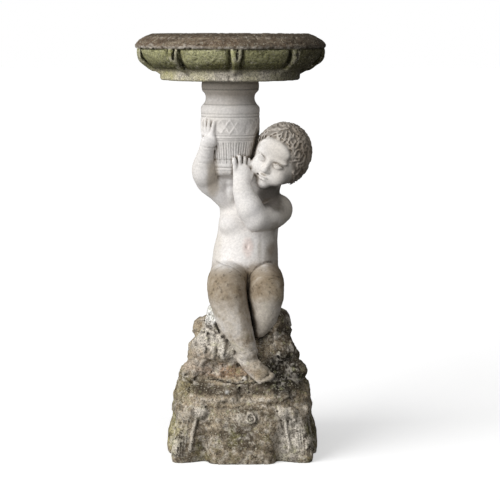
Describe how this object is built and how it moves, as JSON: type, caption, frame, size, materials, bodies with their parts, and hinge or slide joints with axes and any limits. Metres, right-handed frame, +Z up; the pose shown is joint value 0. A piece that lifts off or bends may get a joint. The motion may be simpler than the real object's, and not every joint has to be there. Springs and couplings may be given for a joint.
{
  "type": "birdbath",
  "caption": "Cast stone birdbath: a lobed dish on a fluted column, held by a seated putto on a rocky, scroll-footed base.",
  "frame": {"origin": "on the ground, under the axis of the column and the bowl", "axes": "+Z up, +Y from the putto's front to its back, +X to the putto's left"},
  "size_m": [0.3851, 0.3855, 0.8603],
  "materials": {
    "mossy_stone": "rough, with moss and dirt",
    "weathered_stone": "rough, pitted, with lichen and dirt"
  },
  "bodies": {
    "root": {"bowl": "mossy_stone", "pedestal": "weathered_stone"}
  },
  "joints": []
}
